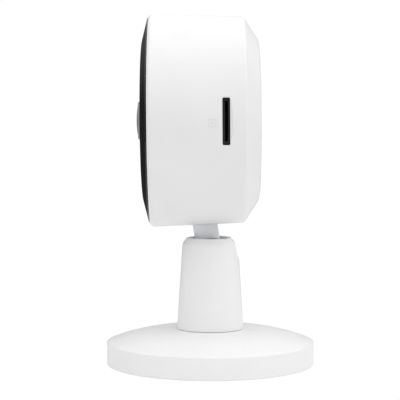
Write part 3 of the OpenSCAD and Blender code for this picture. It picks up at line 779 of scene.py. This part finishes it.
def make_stem():
    """The tapered stem with its round mouth."""
    foot, shoulder, rim = STEM_SIDE
    outline = supported(rounded([
        (8.3, foot[1], 0),
        (*foot, 0.15),
        (*shoulder, 1.2),
        (*rim, 0.5),
        (MOUTH_R, rim[1], 0.38),
        (MOUTH_R, 36.75, 0.1),
        (6.75, 35.85, 0),
    ]))
    stem = lathed("stem", outline, 256)
    cut(stem, fold_slot_cutter())
    finished(stem, WORLD, "stem", MATERIALS["white_plastic"], ["stem_shell"])


# ---------- base ----------

BASE_R = 31.0
BASE_INNER_R = 28.9
RIM_Z = 6.85
CROWN_Z = 10.7
CROWN_R = 10.4
SEAT_Z = 8.1
BORE_R = 4.55
DOME_EDGE_R = 30.0
DOME_POWER = 2.1


def dome_height(radius):
    """Height of the base's domed top at a radius."""
    share = max(radius - CROWN_R, 0) / (BASE_R - CROWN_R)
    return RIM_Z + (CROWN_Z - RIM_Z) * (1 - share ** DOME_POWER)


def make_base():
    """The domed cover on its upright rim, with its flat seat for the stem."""
    radii = [DOME_EDGE_R + (CROWN_R - DOME_EDGE_R) * i / 36 for i in range(37)]
    dome = [Vector((r, dome_height(r))) for r in radii]
    inner, bottom, rim = (BASE_INNER_R, 0.25), (BASE_R, 0.25), (BASE_R, RIM_Z)
    outline = supported([
        Vector((BASE_INNER_R, 0.35)),
        *corner_arc(inner, bottom, rim, 0.3),
        *corner_arc(bottom, rim, dome[0], 0.45),
        *dome,
        Vector((BORE_R, CROWN_Z)),
        Vector((BORE_R, SEAT_Z)),
        Vector((CROWN_R, SEAT_Z)),
        Vector((BASE_INNER_R, 5.6)),
    ])
    cover = lathed("base_cover", outline, 256)
    # The cover wears the darker copy of the white plastic, painted shade for the light it gets.
    finished(cover, WORLD, "base", MATERIALS["base_plastic_painted_shade"], ["base_shell"])


def make_foot_pad():
    """The rubber ring under the base, with fine moulded grooves."""
    outer, _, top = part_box("foot_pad")[1] / MM
    groove = ((0, 0), (0.25, 0.14), (0.65, 0.14), (0.9, 0))
    grooves = []
    radius = 14.2
    while radius < outer - 1.4:
        grooves += [Vector((radius + across, up)) for across, up in groove]
        radius += 2.2
    outline = [Vector((13, top)), Vector((13, 0.3)), Vector((13.3, 0)), *grooves, Vector((outer - 0.4, 0)),
               Vector((outer - 0.12, 0.12)), Vector((outer, 0.4)), Vector((outer, top))]
    finished(lathed("foot_ring", outline, 192), WORLD, "base", MATERIALS["black_rubber"], ["foot_pad"])


# ---------- carried-over parts ----------

def dress_cad_nodes():
    """Gives each CAD node its slot's material, then the card socket its own deep black."""
    for name, node in frame["nodes"].items():
        node.data.materials.clear()
        node.data.materials.append(MATERIALS[SLOT_OF[name]])
    frame["nodes"]["card_socket"].data.materials[0] = MATERIALS["socket_black"]


# ---------- studio ----------

FLOOR_DROP = 0.0003
FLOOR_R = 0.2
BACKDROP_WHITE = 1.02


def make_floor():
    """White paper just below the foot pad: plain white to the camera, softly lit for everything else."""
    bm = bmesh.new()
    bmesh.ops.create_circle(bm, cap_ends=True, segments=96, radius=FLOOR_R)
    mesh = bpy.data.meshes.new("floor")
    bm.to_mesh(mesh)
    bm.free()
    floor = bpy.data.objects.new("floor", mesh)
    floor.location.z = -FLOOR_DROP
    bpy.context.scene.collection.objects.link(floor)
    surface = Surface("floor_paper", (0.7, 0.7, 0.7), 0.9)
    surface.mottled(60, 0.01)
    surface.shader.inputs["Emission Color"].default_value = (1, 1, 1, 1)
    surface.shader.inputs["Emission Strength"].default_value = 0.2
    white = surface.nodes.new("ShaderNodeEmission")
    white.inputs["Strength"].default_value = BACKDROP_WHITE
    choose = surface.nodes.new("ShaderNodeMixShader")
    surface.links.new(surface.nodes.new("ShaderNodeLightPath").outputs["Is Camera Ray"], choose.inputs["Fac"])
    surface.links.new(surface.shader.outputs[0], choose.inputs[1])
    surface.links.new(white.outputs[0], choose.inputs[2])
    surface.links.new(choose.outputs[0], surface.nodes["Material Output"].inputs["Surface"])
    mesh.materials.append(surface.material)


# The room's brightness at the height of a direction, and extra light as (direction, amount).
ROOM_RAMP = ((0.03, 0.03), (0.14, 0.12), (0.5, 0.92), (0.9, 1.16))
SIDE_FILLS = (((0.22, 0.975, 0.0), 0.72), ((0.5, -0.86, 0.0), 0.5))


def make_studio_light():
    """A pale room, bright overhead and at the sides, dark low down, shown plain white behind the object."""
    world = bpy.data.worlds.new("studio")
    bpy.context.scene.world = world
    world.use_nodes = True
    nodes, links = world.node_tree.nodes, world.node_tree.links
    nodes.clear()

    def math_node(operation, *values):
        node = nodes.new("ShaderNodeMath")
        node.operation = operation
        for socket, value in zip(node.inputs, values):
            if isinstance(value, (int, float)):
                socket.default_value = value
            else:
                links.new(value, socket)
        return node.outputs[0]

    direction = nodes.new("ShaderNodeTexCoord").outputs["Generated"]
    split = nodes.new("ShaderNodeSeparateXYZ")
    links.new(direction, split.inputs[0])
    strength = ROOM_RAMP[0][1]
    for (low, value_low), (high, value_high) in zip(ROOM_RAMP, ROOM_RAMP[1:]):
        step = nodes.new("ShaderNodeMapRange")
        for socket, number in (("From Min", low), ("From Max", high), ("To Min", 0.0),
                               ("To Max", value_high - value_low)):
            step.inputs[socket].default_value = number
        links.new(split.outputs["Z"], step.inputs["Value"])
        strength = math_node("ADD", strength, step.outputs["Result"])
    for side, amount in SIDE_FILLS:
        toward = nodes.new("ShaderNodeVectorMath")
        toward.operation = "DOT_PRODUCT"
        links.new(direction, toward.inputs[0])
        toward.inputs[1].default_value = side
        facing = math_node("MAXIMUM", toward.outputs["Value"], 0.0)
        strength = math_node("ADD", strength, math_node("MULTIPLY", facing, amount))
    room = nodes.new("ShaderNodeBackground")
    room.inputs["Color"].default_value = (1, 1, 1, 1)
    links.new(strength, room.inputs["Strength"])
    backdrop = nodes.new("ShaderNodeBackground")
    backdrop.inputs["Color"].default_value = (1, 1, 1, 1)
    backdrop.inputs["Strength"].default_value = BACKDROP_WHITE
    choose = nodes.new("ShaderNodeMixShader")
    rays = nodes.new("ShaderNodeLightPath").outputs
    links.new(math_node("MAXIMUM", rays["Is Camera Ray"], rays["Is Transmission Ray"]), choose.inputs["Fac"])
    links.new(room.outputs[0], choose.inputs[1])
    links.new(backdrop.outputs[0], choose.inputs[2])
    output = nodes.new("ShaderNodeOutputWorld")
    links.new(choose.outputs[0], output.inputs["Surface"])


SOFTBOXES = {
    "softbox_top": ((0.15, 0.1, 0.9), 0.7, 0.5),
    "softbox_side": ((1.0, 0.25, 0.45), 0.8, 0.5),
}
SOFTBOX_AIM = Vector((0, 0, 0.05))


def make_softbox(name, place, size, power):
    """A round area lamp at a place, facing the object."""
    light = bpy.data.lights.new(name, "AREA")
    light.shape = "DISK"
    light.size = size
    light.energy = power
    lamp = bpy.data.objects.new(name, light)
    bpy.context.scene.collection.objects.link(lamp)
    lamp.location = place
    lamp.rotation_euler = (SOFTBOX_AIM - Vector(place)).to_track_quat("-Z", "Y").to_euler()
    lamp.visible_camera = False


CAMERA_PLACE = Vector((0.4186, -0.00309, 0.0722))
CAMERA_AIM = Vector((0, -0.00309, 0.0492))
FOCAL_LENGTH = 126.2


def make_camera():
    """Level with the head and square to its +X side, looking slightly down."""
    data = bpy.data.cameras.new("camera")
    data.lens = FOCAL_LENGTH
    data.sensor_width = 36
    data.clip_start = 0.01
    data.clip_end = 20
    camera = bpy.data.objects.new("camera", data)
    bpy.context.scene.collection.objects.link(camera)
    camera.location = CAMERA_PLACE
    camera.rotation_euler = (CAMERA_AIM - CAMERA_PLACE).to_track_quat("-Z", "Y").to_euler()
    bpy.context.scene.camera = camera


dress_cad_nodes()
make_housing()
make_card_icon()
make_panel()
make_lens_ring()
make_lens_window()
make_lens_barrel()
make_lens_element()
make_reset_button()
make_usb_port()
make_neck()
make_stem()
make_base()
make_foot_pad()
make_floor()
make_studio_light()
for softbox, setting in SOFTBOXES.items():
    make_softbox(softbox, *setting)
make_camera()
bpy.context.scene.view_settings.view_transform = "Standard"
